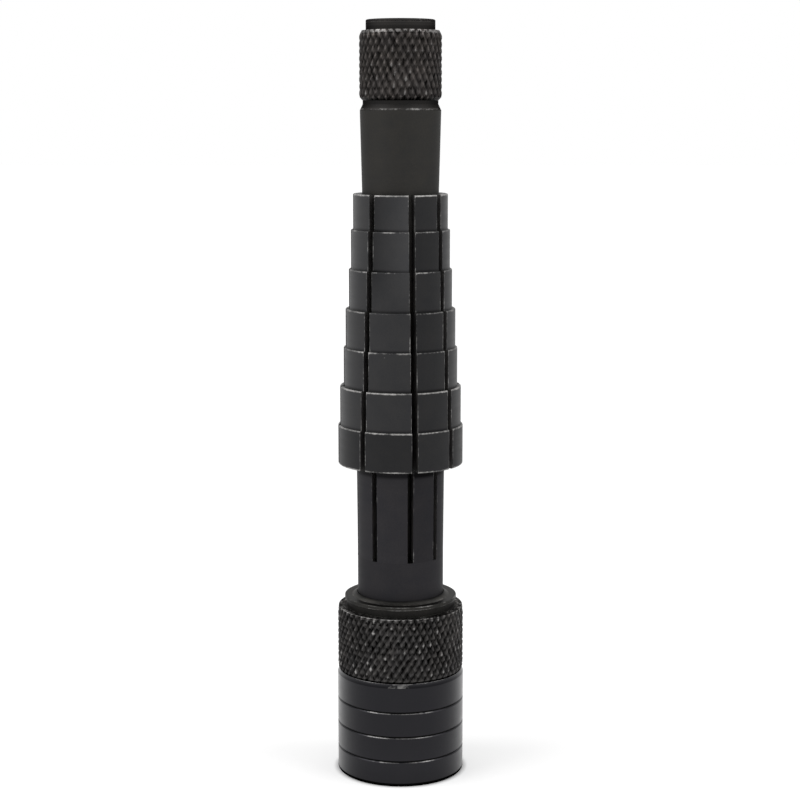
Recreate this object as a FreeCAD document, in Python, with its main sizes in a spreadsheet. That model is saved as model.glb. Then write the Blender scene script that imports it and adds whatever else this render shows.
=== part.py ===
"""Ring stretcher: a slotted step collet spread by a tapered draw pin, on a turning collar and a round base.

Frame: millimetres, +Z up, origin at the centre of the foot. The tool stands on its base and every
turned piece shares the Z axis. The first saw cut meets the front (-Y) thirteen degrees to its right.
"""

import FreeCAD, Part
import Sketcher
import os

# ---------------------------------------------------------------------------------------------
# Driving dimensions, in millimetres unless the name says otherwise
# ---------------------------------------------------------------------------------------------

BASE_SIZES = [
    ("base_radius", 12.7),
    ("base_height", 21.0),
    ("base_top_bevel_width", 0.3),
    ("base_top_bevel_length", 0.8),
    ("base_foot_round", 0.35),
    ("grip_groove_count", 3),
    ("grip_groove_height", 5.05),
    ("grip_groove_pitch", 5.02),
    ("grip_groove_width", 0.5),
    ("grip_groove_depth", 0.3),
    ("spigot_height", 8.5),
    ("spigot_lead", 0.4),
    ("plug_step", 1.38),
    ("plug_thickness", 3.0),
    ("plug_recess", 0.3),
    ("plug_edge", 0.3),
]

NUT_SIZES = [
    ("nut_wall", 1.72),
    ("nut_shoulder_depth", 16.5),
    ("nut_top_inset", 0.5),
    ("nut_flange_width", 1.4),
    ("nut_flange_thickness", 3.5),
    ("nut_bore_lead", 0.6),
    ("key_radius", 1.0),
    ("key_length", 5.0),
]

BEARING_SIZES = [
    ("washer_thickness", 1.0),
    ("washer_bore_gap", 1.2),
    ("washer_rim_inset", 0.1),
    ("ring_rise", 3.45),
    ("ring_thickness", 1.0),
    ("ring_inner_depth", 0.6),
    ("ring_outer_depth", 0.62),
    ("ring_gap_degrees", 24),
]

COLLAR_SIZES = [
    ("collar_radius", 12.63),
    ("collar_seam", 0.25),
    ("collar_knurl_height", 12.8),
    ("collar_bevel_width", 0.17),
    ("collar_upper_bevel_length", 1.4),
    ("collar_lower_bevel_length", 0.35),
    ("collar_boss_inset", 1.43),
    ("collar_boss_height", 2.15),
    ("collar_boss_edge", 0.12),
    ("collar_boss_rim", 0.7),
    ("collar_boss_undercut", 0.3),
    ("collar_mouth_lead", 0.3),
    ("collet_foot_flange", 0.79),
    ("collet_foot_thickness", 1.5),
]

COLLET_SIZES = [
    ("collet_bore_radius", 6.9),
    ("neck_wall", 1.67),
    ("neck_flare", 0.15),
    ("neck_length", 26.95),
    ("slot_end_rise", 8.2),
    ("flare_rise", 1.8),
    ("slot_width", 1.1),
    ("ream_length", 27.2),
    ("top_step_wall", 1.69),
    ("step_edge", 0.25),
]

# Steps of the collet from the widest, at the bottom, to the narrowest: each step's height, and
# how far it stands out past the step above it
STEPS = [
    (7.9, 0.4),
    (7.75, 0.75),
    (7.7, 0.4),
    (7.6, 0.68),
    (7.8, 0.44),
    (7.7, 0.44),
    (6.95, 0.0),
]

# Direction of each saw cut across the collet, in degrees about Z from +X. A cut leaves two slots,
# one on each side, so the jaws are twice as many as the cuts.
CUT_DEGREES = [-76.8, -37.0, 8.2, 53.4]

PIN_SIZES = [
    ("taper_on_diameter", 0.05),
    ("taper_length_in_collet", 40.7),
    ("tail_radius", 5.0),
    ("tail_lead", 1.0),
    ("pin_travel", 14.0),
    ("tail_clearance", 0.7),
    ("head_clearance", 2.0),
    ("head_cone_length", 1.2),
    ("head_groove_depth", 0.66),
    ("head_groove_length", 0.7),
    ("head_rise", 0.1),
    ("head_knurl_length", 13.3),
    ("head_lower_bevel", 0.6),
    ("head_upper_bevel_width", 0.5),
    ("head_upper_bevel_length", 0.95),
    ("end_boss_inset", 1.28),
    ("end_boss_height", 2.05),
    ("end_boss_edge", 0.35),
]

# Named clearances
CLEARANCES = [
    ("running_gap", 0.08),
    ("thrust_gap", 0.02),
    ("seat_gap", 0.02),
    ("groove_gap", 0.1),
    ("taper_gap", 0.08),
    ("root_gap", 0.05),
]

SHEET = "Sizes"


def step_alias(index, what):
    """Name of one size of one step, counted from the widest."""
    return "step_%s_%s" % ("abcdefghijklmnop"[index], what)


def cut_alias(index):
    """Name of the direction of one saw cut."""
    return "cut_%s_degrees" % "abcdefghijklmnop"[index]


def all_sizes():
    """Every driving dimension in one list."""
    sizes = BASE_SIZES + NUT_SIZES + BEARING_SIZES + COLLAR_SIZES + COLLET_SIZES
    for index, (height, ledge) in enumerate(STEPS):
        sizes.append((step_alias(index, "height"), height))
        sizes.append((step_alias(index, "ledge"), ledge))
    for index, degrees in enumerate(CUT_DEGREES):
        sizes.append((cut_alias(index), degrees))
    return sizes + PIN_SIZES + CLEARANCES


def fill_sheet(document):
    """Write the driving dimensions to the spreadsheet, one row each."""
    sheet = document.addObject("Spreadsheet::Sheet", SHEET)
    for row, (alias, value) in enumerate(all_sizes(), start=1):
        sheet.set("A%d" % row, alias)
        sheet.set("B%d" % row, str(value))
        sheet.setAlias("B%d" % row, alias)
    document.recompute()


def size(alias):
    """Expression for one cell of the spreadsheet."""
    return "%s.%s" % (SHEET, alias)


def total(*terms):
    """Expression for a sum of terms."""
    return "(" + " + ".join(terms) + ")"


def less(first, *terms):
    """Expression for the first term less the others."""
    return "(" + " - ".join((first,) + terms) + ")"


# ---------------------------------------------------------------------------------------------
# Levels and radii that several pieces share, as expressions over the spreadsheet
# ---------------------------------------------------------------------------------------------

NECK_RADIUS = total(size("collet_bore_radius"), size("neck_wall"))
COLLET_FOOT_RADIUS = total(NECK_RADIUS, size("collet_foot_flange"))
COLLAR_BORE = total(COLLET_FOOT_RADIUS, size("seat_gap"))
SPIGOT_RADIUS = less(COLLAR_BORE, size("running_gap"))

TAIL_BORE = total(size("tail_radius"), size("running_gap"))
NUT_RADIUS = total(TAIL_BORE, size("nut_wall"))
NUT_SEAT_BORE = total(NUT_RADIUS, size("seat_gap"))
FLANGE_RADIUS = total(NUT_RADIUS, size("nut_flange_width"))
FLANGE_BORE = total(FLANGE_RADIUS, size("seat_gap"))
PLUG_RADIUS = total(FLANGE_BORE, size("plug_step"))
PLUG_BORE = total(PLUG_RADIUS, size("seat_gap"))
KEY_BORE = total(size("key_radius"), size("seat_gap"))

PLUG_TOP = total(size("plug_recess"), size("plug_thickness"))
SPIGOT_TOP = total(size("base_height"), size("spigot_height"))
NUT_SHOULDER = less(SPIGOT_TOP, size("nut_shoulder_depth"))
NUT_FOOT = less(NUT_SHOULDER, size("nut_flange_thickness"))
NUT_TOP = less(SPIGOT_TOP, size("nut_top_inset"))

RING_FOOT = total(size("base_height"), size("ring_rise"))
RING_TOP = total(RING_FOOT, size("ring_thickness"))
RING_INNER = less(SPIGOT_RADIUS, size("ring_inner_depth"))
RING_OUTER = total(SPIGOT_RADIUS, size("running_gap"), size("ring_outer_depth"))
RING_GROOVE_FOOT = less(RING_FOOT, size("groove_gap"))
RING_GROOVE_TOP = total(RING_TOP, size("groove_gap"))

WASHER_TOP = total(SPIGOT_TOP, size("washer_thickness"))
WASHER_BORE = total(size("tail_radius"), size("washer_bore_gap"))
WASHER_RADIUS = less(SPIGOT_RADIUS, size("washer_rim_inset"))

COLLAR_FOOT = total(size("base_height"), size("collar_seam"))
COLLAR_SHOULDER = total(COLLAR_FOOT, size("collar_knurl_height"))
COLLAR_TOP = total(COLLAR_SHOULDER, size("collar_boss_height"))

TAPER_PER_SIDE = "(%s / 2)" % size("taper_on_diameter")
NECK_TOP_RADIUS = total(NECK_RADIUS, size("neck_flare"))
NECK_BORE = total(NECK_RADIUS, size("seat_gap"))
COLLET_FOOT = total(WASHER_TOP, size("thrust_gap"))
COLLET_FOOT_TOP = total(COLLET_FOOT, size("collet_foot_thickness"))
SLOT_END = total(COLLAR_TOP, size("slot_end_rise"))
ROOT_TOP = less(SLOT_END, size("root_gap"))
FLARE_FOOT = total(SLOT_END, size("flare_rise"))
STEPS_FOOT = total(COLLAR_TOP, size("neck_length"))
REAM_RADIUS = "(%s + %s * %s)" % (size("collet_bore_radius"), size("ream_length"), TAPER_PER_SIDE)


def step_top(index):
    """Height of the top of one step."""
    heights = [size(step_alias(i, "height")) for i in range(index + 1)]
    return total(STEPS_FOOT, *heights)


def step_radius(index):
    """Radius of one step: the narrowest step's, and the ledges of the steps down to this one."""
    ledges = [size(step_alias(i, "ledge")) for i in range(index, len(STEPS))]
    return total(REAM_RADIUS, size("top_step_wall"), *ledges)


def slot_degrees(index):
    """Direction of one slot, counted round Z: the cuts in turn, and then their far sides."""
    half_turns, cut = divmod(index, len(CUT_DEGREES))
    return total(size(cut_alias(cut)), str(180 * half_turns))


COLLET_TOP = step_top(len(STEPS) - 1)
REAM_FOOT = less(COLLET_TOP, size("ream_length"))
SLOT_REACH = total(step_radius(0), size("slot_width"))


def pin_radius(height):
    """Radius of the tapered shank at a height."""
    at_collet_top = less(REAM_RADIUS, size("taper_gap"))
    return "(%s + (%s - %s) * %s)" % (at_collet_top, height, COLLET_TOP, TAPER_PER_SIDE)


TAIL_FOOT = total(PLUG_TOP, size("pin_travel"), size("tail_clearance"))
TAPER_FOOT = less(COLLET_TOP, size("taper_length_in_collet"))
TAPER_FOOT_RADIUS = pin_radius(TAPER_FOOT)
TAIL_TOP = "(%s - (%s - %s))" % (TAPER_FOOT, TAPER_FOOT_RADIUS, size("tail_radius"))
SHANK_TOP = total(COLLET_TOP, size("pin_travel"), size("head_clearance"))
CONE_TOP = total(SHANK_TOP, size("head_cone_length"))
HEAD_FOOT = total(CONE_TOP, size("head_groove_length"))
HEAD_TOP = total(HEAD_FOOT, size("head_knurl_length"))
HEAD_RADIUS = total(pin_radius(SHANK_TOP), size("head_rise"))
PIN_TOP = total(HEAD_TOP, size("end_boss_height"))


# ---------------------------------------------------------------------------------------------
# Small helpers for bodies, sketches and features
# ---------------------------------------------------------------------------------------------

ORIGIN_POINT = (-1, 1)
X_AXIS = -1
Y_AXIS = -2
NEAR_ZERO = 1e-9
SAME_LENGTH = 1e-6


def new_body(document, label):
    """An empty body with its own label."""
    body = document.addObject("PartDesign::Body", label)
    body.Label = label
    return body


def origin_feature(body, role):
    """One plane or axis of a body's own origin."""
    for feature in body.Origin.OriginFeatures:
        if feature.Role == role:
            return feature
    raise ValueError("no origin feature " + role)


def new_sketch(body, name, role):
    """An empty sketch on one of the body's origin planes."""
    sketch = body.newObject("Sketcher::SketchObject", name)
    sketch.AttachmentSupport = [(origin_feature(body, role), "")]
    sketch.MapMode = "FlatFace"
    return sketch


def pin_down(sketch, geometry, point, direction, axis, name, expression):
    """Tie one coordinate of a sketch point to an expression, or to an axis when it is zero."""
    value = sketch.evalExpression(expression)
    if abs(value) < NEAR_ZERO:
        sketch.addConstraint(Sketcher.Constraint("PointOnObject", geometry, point, axis))
        return
    index = sketch.addConstraint(
        Sketcher.Constraint(direction, ORIGIN_POINT[0], ORIGIN_POINT[1], geometry, point, value))
    sketch.renameConstraint(index, name)
    sketch.setExpression("Constraints." + name, expression)


def draw_outline(sketch, outline):
    """Closed outline of straight lines through points given as pairs of expressions."""
    corners = []
    for across, up in outline:
        corners.append(FreeCAD.Vector(sketch.evalExpression(across), sketch.evalExpression(up), 0))
    count = len(corners)
    for index, corner in enumerate(corners):
        sketch.addGeometry(Part.LineSegment(corner, corners[(index + 1) % count]), False)
    for index in range(count):
        following = (index + 1) % count
        sketch.addConstraint(Sketcher.Constraint("Coincident", index, 2, following, 1))
    for index, (across, up) in enumerate(outline):
        pin_down(sketch, index, 1, "DistanceX", Y_AXIS, "across_%d" % index, across)
        pin_down(sketch, index, 1, "DistanceY", X_AXIS, "up_%d" % index, up)


def turned_body(document, label, outline, sweep="360"):
    """Body turned about Z from an outline of (radius, height) pairs, centred on the XZ plane."""
    body = new_body(document, label)
    sketch = new_sketch(body, label + "_outline", "XZ_Plane")
    draw_outline(sketch, outline)
    turned = body.newObject("PartDesign::Revolution", label + "_turned")
    turned.Profile = sketch
    turned.ReferenceAxis = (sketch, ["V_Axis"])
    turned.Midplane = True
    turned.setExpression("Angle", sweep)
    document.recompute()
    return body


def checked_cut(document, body, feature, before):
    """Recompute a new cut, and stop if the body's volume is no less than it was before."""
    document.recompute()
    if feature.Shape.Volume >= before:
        raise RuntimeError(feature.Name + " cuts nothing")
    body.Tip = feature


def upward_pocket(document, body, name, sketch, length):
    """Pocket that runs up from a sketch by a length."""
    before = body.Tip.Shape.Volume
    pocket = body.newObject("PartDesign::Pocket", name)
    pocket.Profile = sketch
    pocket.Type = "Length"
    pocket.Reversed = True
    pocket.setExpression("Length", length)
    checked_cut(document, body, pocket, before)
    return pocket


def circle_edges(shape, radius, height):
    """Names of the full circular edges of a radius at a height."""
    names = []
    for index, edge in enumerate(shape.Edges, start=1):
        curve = edge.Curve
        if not isinstance(curve, Part.Circle):
            continue
        if abs(curve.Radius - radius) < SAME_LENGTH and abs(curve.Center.z - height) < SAME_LENGTH:
            names.append("Edge%d" % index)
    return names


def round_rim(document, body, name, radius, height, rounding):
    """Fillet on the rim of a radius at a height, both given as expressions."""
    base = body.Tip
    rims = circle_edges(base.Shape, body.evalExpression(radius), body.evalExpression(height))
    fillet = body.newObject("PartDesign::Fillet", name)
    fillet.Base = (base, rims)
    fillet.setExpression("Radius", rounding)
    document.recompute()
    body.Tip = fillet


def key_pockets(document, body, label, foot, length):
    """Two half holes across the joint between the nut's flange and its bore, opposite each other."""
    sketch = new_sketch(body, label + "_key_circle", "XY_Plane")
    sketch.setExpression("AttachmentOffset.Base.z", foot)
    centre = FreeCAD.Vector(sketch.evalExpression(FLANGE_BORE), 0, 0)
    circle = Part.Circle(centre, FreeCAD.Vector(0, 0, 1), sketch.evalExpression(KEY_BORE))
    sketch.addGeometry(circle, False)
    pin_down(sketch, 0, 3, "DistanceX", Y_AXIS, "key_place", FLANGE_BORE)
    sketch.addConstraint(Sketcher.Constraint("PointOnObject", 0, 3, X_AXIS))
    index = sketch.addConstraint(Sketcher.Constraint("Radius", 0, circle.Radius))
    sketch.renameConstraint(index, "key_bore")
    sketch.setExpression("Constraints.key_bore", KEY_BORE)
    pocket = upward_pocket(document, body, label + "_key_pocket", sketch, length)
    before = body.Tip.Shape.Volume
    pair = body.newObject("PartDesign::PolarPattern", label + "_key_pair")
    pair.Originals = [pocket]
    pair.Axis = (origin_feature(body, "Z_Axis"), [""])
    pair.Angle = 360
    pair.Occurrences = 2
    checked_cut(document, body, pair, before)


# ---------------------------------------------------------------------------------------------
# The base and what is inside it
# ---------------------------------------------------------------------------------------------

def build_base(document):
    """Round base with the spigot the collar turns on, bored from below for nut and plug."""
    spigot = SPIGOT_RADIUS
    outline = [
        (PLUG_BORE, "0"),
        (size("base_radius"), "0"),
        (size("base_radius"), less(size("base_height"), size("base_top_bevel_length"))),
        (less(size("base_radius"), size("base_top_bevel_width")), size("base_height")),
        (spigot, size("base_height")),
        (spigot, RING_GROOVE_FOOT),
        (less(RING_INNER, size("groove_gap")), RING_GROOVE_FOOT),
        (less(RING_INNER, size("groove_gap")), RING_GROOVE_TOP),
        (spigot, RING_GROOVE_TOP),
        (spigot, less(SPIGOT_TOP, size("spigot_lead"))),
        (less(spigot, size("spigot_lead")), SPIGOT_TOP),
        (NUT_SEAT_BORE, SPIGOT_TOP),
        (NUT_SEAT_BORE, NUT_SHOULDER),
        (FLANGE_BORE, NUT_SHOULDER),
        (FLANGE_BORE, PLUG_TOP),
        (PLUG_BORE, PLUG_TOP),
    ]
    body = turned_body(document, "base_body", outline)
    round_rim(document, body, "base_foot_rim", size("base_radius"), "0", size("base_foot_round"))
    cut_grip_grooves(document, body)
    key_reach = "(%s + %s - %s)" % (NUT_FOOT, size("key_length"), PLUG_TOP)
    key_pockets(document, body, "base_body", PLUG_TOP, key_reach)


def cut_grip_grooves(document, body):
    """Equally spaced fine grooves round the outside of the base."""
    floor = less(size("base_radius"), size("grip_groove_depth"))
    rim = total(size("base_radius"), size("grip_groove_depth"))
    foot = "(%s - %s / 2)" % (size("grip_groove_height"), size("grip_groove_width"))
    top = total(foot, size("grip_groove_width"))
    sketch = new_sketch(body, "grip_groove_outline", "XZ_Plane")
    draw_outline(sketch, [(floor, foot), (rim, foot), (rim, top), (floor, top)])
    before = body.Tip.Shape.Volume
    groove = body.newObject("PartDesign::Groove", "grip_groove")
    groove.Profile = sketch
    groove.ReferenceAxis = (sketch, ["V_Axis"])
    groove.Angle = 360
    checked_cut(document, body, groove, before)
    before = body.Tip.Shape.Volume
    row = body.newObject("PartDesign::LinearPattern", "grip_groove_row")
    row.Originals = [groove]
    row.Direction = (origin_feature(body, "Z_Axis"), [""])
    row.setExpression("Occurrences", size("grip_groove_count"))
    row.setExpression("Length", "%s * (%s - 1)" % (size("grip_groove_pitch"), size("grip_groove_count")))
    checked_cut(document, body, row, before)


def build_plug(document):
    """Disc that closes the bore from below, set up from the foot."""
    radius = PLUG_RADIUS
    edge = size("plug_edge")
    turned_body(document, "base_plug", [
        ("0", size("plug_recess")),
        (less(radius, edge), size("plug_recess")),
        (radius, total(size("plug_recess"), edge)),
        (radius, less(PLUG_TOP, edge)),
        (less(radius, edge), PLUG_TOP),
        ("0", PLUG_TOP),
    ])


def build_nut(document):
    """Flanged nut whose flange bears up against the shoulder in the base."""
    lead = size("nut_bore_lead")
    flange_top = less(NUT_SHOULDER, size("thrust_gap"))
    body = turned_body(document, "draw_nut", [
        (total(TAIL_BORE, lead), NUT_FOOT),
        (FLANGE_RADIUS, NUT_FOOT),
        (FLANGE_RADIUS, flange_top),
        (NUT_RADIUS, flange_top),
        (NUT_RADIUS, NUT_TOP),
        (total(TAIL_BORE, lead), NUT_TOP),
        (TAIL_BORE, less(NUT_TOP, lead)),
        (TAIL_BORE, total(NUT_FOOT, lead)),
    ])
    key_pockets(document, body, "draw_nut", NUT_FOOT, size("nut_flange_thickness"))


def build_key(document, label, side):
    """Round key pin across the nut's joint line."""
    key = document.addObject("Part::Cylinder", label)
    key.Label = label
    key.setExpression("Radius", size("key_radius"))
    key.setExpression("Height", less(size("key_length"), size("seat_gap")))
    key.setExpression("Placement.Base.x", "%d * %s" % (side, FLANGE_BORE))
    key.setExpression("Placement.Base.z", NUT_FOOT)


def build_washer(document):
    """Thrust washer on top of the spigot."""
    turned_body(document, "thrust_washer", [
        (WASHER_BORE, SPIGOT_TOP),
        (WASHER_RADIUS, SPIGOT_TOP),
        (WASHER_RADIUS, WASHER_TOP),
        (WASHER_BORE, WASHER_TOP),
    ])


def build_retaining_ring(document):
    """Split ring that keys the collar to the spigot and still lets it turn."""
    sweep = less("360", size("ring_gap_degrees"))
    turned_body(document, "retaining_ring", [
        (RING_INNER, RING_FOOT),
        (RING_OUTER, RING_FOOT),
        (RING_OUTER, RING_TOP),
        (RING_INNER, RING_TOP),
    ], sweep)


# ---------------------------------------------------------------------------------------------
# The collar and the collet
# ---------------------------------------------------------------------------------------------

def build_collar(document):
    """Collar with the grip band outside, and the collet's foot trapped under its rimmed boss."""
    rim = size("collar_radius")
    bevel = less(rim, size("collar_bevel_width"))
    boss = less(rim, size("collar_boss_inset"))
    undercut = less(boss, size("collar_boss_undercut"))
    boss_rim_foot = less(COLLAR_TOP, size("collar_boss_rim"))
    edge = size("collar_boss_edge")
    lead = size("collar_mouth_lead")
    ring_bore = total(RING_OUTER, size("groove_gap"))
    trap = total(COLLET_FOOT_TOP, size("seat_gap"))
    turned_body(document, "knurled_collar", [
        (total(COLLAR_BORE, lead), COLLAR_FOOT),
        (bevel, COLLAR_FOOT),
        (rim, total(COLLAR_FOOT, size("collar_lower_bevel_length"))),
        (rim, less(COLLAR_SHOULDER, size("collar_upper_bevel_length"))),
        (bevel, COLLAR_SHOULDER),
        (undercut, COLLAR_SHOULDER),
        (undercut, boss_rim_foot),
        (boss, boss_rim_foot),
        (boss, less(COLLAR_TOP, edge)),
        (less(boss, edge), COLLAR_TOP),
        (NECK_BORE, COLLAR_TOP),
        (NECK_BORE, trap),
        (COLLAR_BORE, trap),
        (COLLAR_BORE, RING_GROOVE_TOP),
        (ring_bore, RING_GROOVE_TOP),
        (ring_bore, RING_GROOVE_FOOT),
        (COLLAR_BORE, RING_GROOVE_FOOT),
        (COLLAR_BORE, total(COLLAR_FOOT, lead)),
    ])


def build_collet_neck(document):
    """Uncut foot of the collet: a flange under the collar's shoulder and the neck up to the slots."""
    turned_body(document, "collet_neck", [
        (size("collet_bore_radius"), COLLET_FOOT),
        (COLLET_FOOT_RADIUS, COLLET_FOOT),
        (COLLET_FOOT_RADIUS, COLLET_FOOT_TOP),
        (NECK_RADIUS, COLLET_FOOT_TOP),
        (NECK_RADIUS, ROOT_TOP),
        (size("collet_bore_radius"), ROOT_TOP),
    ])


def jaw_outline():
    """Section of a jaw: bored neck and steps, reamed to the pin's taper above the drilled bore."""
    edge = size("step_edge")
    outline = [
        (size("collet_bore_radius"), SLOT_END),
        (NECK_RADIUS, SLOT_END),
        (NECK_RADIUS, FLARE_FOOT),
        (NECK_TOP_RADIUS, STEPS_FOOT),
    ]
    foot = STEPS_FOOT
    for index in range(len(STEPS)):
        radius = step_radius(index)
        top = step_top(index)
        outline.append((radius, foot))
        outline.append((radius, less(top, edge)))
        outline.append((less(radius, edge), top))
        foot = top
    outline.append((REAM_RADIUS, COLLET_TOP))
    outline.append((size("collet_bore_radius"), REAM_FOOT))
    return outline


def build_jaw(document, index):
    """The jaw between one slot and the next, turned to its place about Z."""
    label = "collet_jaw_%d" % (index + 1)
    sweep = less(slot_degrees(index + 1), slot_degrees(index))
    middle = "(%s + %s / 2)" % (slot_degrees(index), sweep)
    body = turned_body(document, label, jaw_outline(), sweep)
    sketch = new_sketch(body, label + "_slot_outline", "XY_Plane")
    sketch.setExpression("AttachmentOffset.Rotation.Angle", "1 deg * %s / 2" % sweep)
    half = "(%s / 2)" % size("slot_width")
    other_half = "(0 - %s)" % half
    draw_outline(sketch, [("0", other_half), (SLOT_REACH, other_half), (SLOT_REACH, half), ("0", half)])
    pocket = upward_pocket(document, body, label + "_slot", sketch, total(COLLET_TOP, size("slot_width")))
    before = body.Tip.Shape.Volume
    mirrored = body.newObject("PartDesign::Mirrored", label + "_other_slot")
    mirrored.Originals = [pocket]
    mirrored.MirrorPlane = (origin_feature(body, "XZ_Plane"), [""])
    checked_cut(document, body, mirrored, before)
    body.setExpression("Placement.Rotation.Angle", "1 deg * " + middle)


# ---------------------------------------------------------------------------------------------
# The draw pin
# ---------------------------------------------------------------------------------------------

def build_pin(document):
    """Pin in one piece: threaded tail, tapered shank, groove, grip head and plain end boss."""
    tail = size("tail_radius")
    head = HEAD_RADIUS
    groove = less(head, size("head_groove_depth"))
    boss = less(head, size("end_boss_inset"))
    edge = size("end_boss_edge")
    turned_body(document, "draw_pin", [
        ("0", TAIL_FOOT),
        (less(tail, size("tail_lead")), TAIL_FOOT),
        (tail, total(TAIL_FOOT, size("tail_lead"))),
        (tail, TAIL_TOP),
        (TAPER_FOOT_RADIUS, TAPER_FOOT),
        (pin_radius(SHANK_TOP), SHANK_TOP),
        (groove, CONE_TOP),
        (groove, HEAD_FOOT),
        (head, total(HEAD_FOOT, size("head_lower_bevel"))),
        (head, less(HEAD_TOP, size("head_upper_bevel_length"))),
        (less(head, size("head_upper_bevel_width")), HEAD_TOP),
        (boss, HEAD_TOP),
        (boss, less(PIN_TOP, edge)),
        (less(boss, edge), PIN_TOP),
        ("0", PIN_TOP),
    ])


# ---------------------------------------------------------------------------------------------
# Checks and export
# ---------------------------------------------------------------------------------------------

def check_document(document):
    """Stop if any object failed."""
    for item in document.Objects:
        if "Invalid" in item.State or "Error" in item.State:
            raise RuntimeError("%s: %s" % (item.Label, item.State))


def sub_parts(document):
    """The bodies and primitives that are pieces of the tool."""
    return [item for item in document.Objects if item.TypeId in ("PartDesign::Body", "Part::Cylinder")]


def export_parts(document, folder):
    """Write each piece to its own file, after every shape has been checked."""
    pieces = sub_parts(document)
    for piece in pieces:
        if piece.Shape.isNull() or not piece.Shape.isValid() or len(piece.Shape.Solids) != 1:
            raise RuntimeError(piece.Label + " has a bad shape")
    os.makedirs(folder, exist_ok=True)
    for piece in pieces:
        piece.Shape.exportStep(os.path.join(folder, piece.Label + ".step"))


def main():
    """Build the whole tool and write its pieces."""
    document = FreeCAD.newDocument("ring_stretcher")
    fill_sheet(document)
    build_base(document)
    build_plug(document)
    build_nut(document)
    build_key(document, "nut_key_1", 1)
    build_key(document, "nut_key_2", -1)
    build_washer(document)
    build_retaining_ring(document)
    build_collar(document)
    build_collet_neck(document)
    for index in range(2 * len(CUT_DEGREES)):
        build_jaw(document, index)
    build_pin(document)
    document.recompute()
    check_document(document)
    export_parts(document, "parts")


main()
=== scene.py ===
"""Looks of the ring stretcher: turned and knurled meshes, worn black steel, a plain studio.

Shapes are written in millimetres and become metres when a mesh is finished. The turned pieces
share the Z axis, and the front is -Y. An outline is a list of corners (radius, height, rounding,
wear, tone), of which the last three may be left out. Wear shows bare metal. Tone darkens or
lightens the colour: it carries random unevenness of the finish and also painted light and
shade. Materials and the studio are written in metres.
"""

import math
import random

import bmesh
import bpy
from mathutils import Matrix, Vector, noise


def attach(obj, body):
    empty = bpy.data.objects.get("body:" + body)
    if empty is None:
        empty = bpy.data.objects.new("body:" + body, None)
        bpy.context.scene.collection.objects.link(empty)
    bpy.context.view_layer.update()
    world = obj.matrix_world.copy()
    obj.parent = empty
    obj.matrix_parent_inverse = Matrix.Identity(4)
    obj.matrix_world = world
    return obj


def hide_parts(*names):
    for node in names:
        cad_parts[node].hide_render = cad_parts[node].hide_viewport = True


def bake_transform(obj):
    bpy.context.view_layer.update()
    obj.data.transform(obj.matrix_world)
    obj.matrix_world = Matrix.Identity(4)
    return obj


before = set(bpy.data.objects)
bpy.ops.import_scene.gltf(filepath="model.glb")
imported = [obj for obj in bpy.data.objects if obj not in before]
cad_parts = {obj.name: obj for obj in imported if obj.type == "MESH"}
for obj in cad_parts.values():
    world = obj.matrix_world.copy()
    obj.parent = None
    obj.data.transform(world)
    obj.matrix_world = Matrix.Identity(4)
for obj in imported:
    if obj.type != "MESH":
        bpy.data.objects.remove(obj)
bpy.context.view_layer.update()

MM = 0.001
SAME = 1e-4  # radii and heights this near to each other count as equal
TURN_SEGMENTS = 192
ARC_STEPS = 4
WEAR_REACH = 0.28  # how far the worn metal fades out past a rounded edge
CREASE_ANGLE = math.radians(28)
BLACK_TONE = -1.0


# ---------------------------------------------------------------------------------------------
# Mesh helpers
# ---------------------------------------------------------------------------------------------

def rounded_outline(corners):
    """Points (radius, height, wear, tone) round a closed outline, with its corners rounded."""
    points = []
    for index, corner in enumerate(corners):
        radius, height, rounding, wear, tone = (tuple(corner) + (0, 0, 0))[:5]
        if not rounding:
            points.append((radius, height, wear, tone))
            continue
        here = Vector((radius, height))
        back = (Vector(corners[index - 1][:2]) - here).normalized()
        ahead = (Vector(corners[(index + 1) % len(corners)][:2]) - here).normalized()
        half = back.angle(ahead) / 2
        reach = rounding / math.tan(half)
        centre = here + (back + ahead).normalized() * (rounding / math.sin(half))
        start = here + back * reach - centre
        end = here + ahead * reach - centre
        sweep = start.angle_signed(end)
        if wear:
            points.append((*(here + back * (reach + WEAR_REACH)), 0.0, tone))
        for step in range(ARC_STEPS + 1):
            turned = centre + rotated(start, -sweep * step / ARC_STEPS)
            points.append((*turned, wear, tone))
        if wear:
            points.append((*(here + ahead * (reach + WEAR_REACH)), 0.0, tone))
    return points


def rotated(vector, angle):
    """A flat vector turned by an angle."""
    cosine, sine = math.cos(angle), math.sin(angle)
    return Vector((vector.x * cosine - vector.y * sine, vector.x * sine + vector.y * cosine))


def held(value):
    """The value, held between 0 and 1."""
    return max(0.0, min(1.0, value))


def angle_of(vertex):
    """Angle of a vertex about Z, from 0 to a full turn."""
    return math.atan2(vertex.co.y, vertex.co.x) % math.tau


def by_angle(ring):
    """The vertices of a full circle in the order of their angle."""
    return sorted(ring, key=angle_of)


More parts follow.
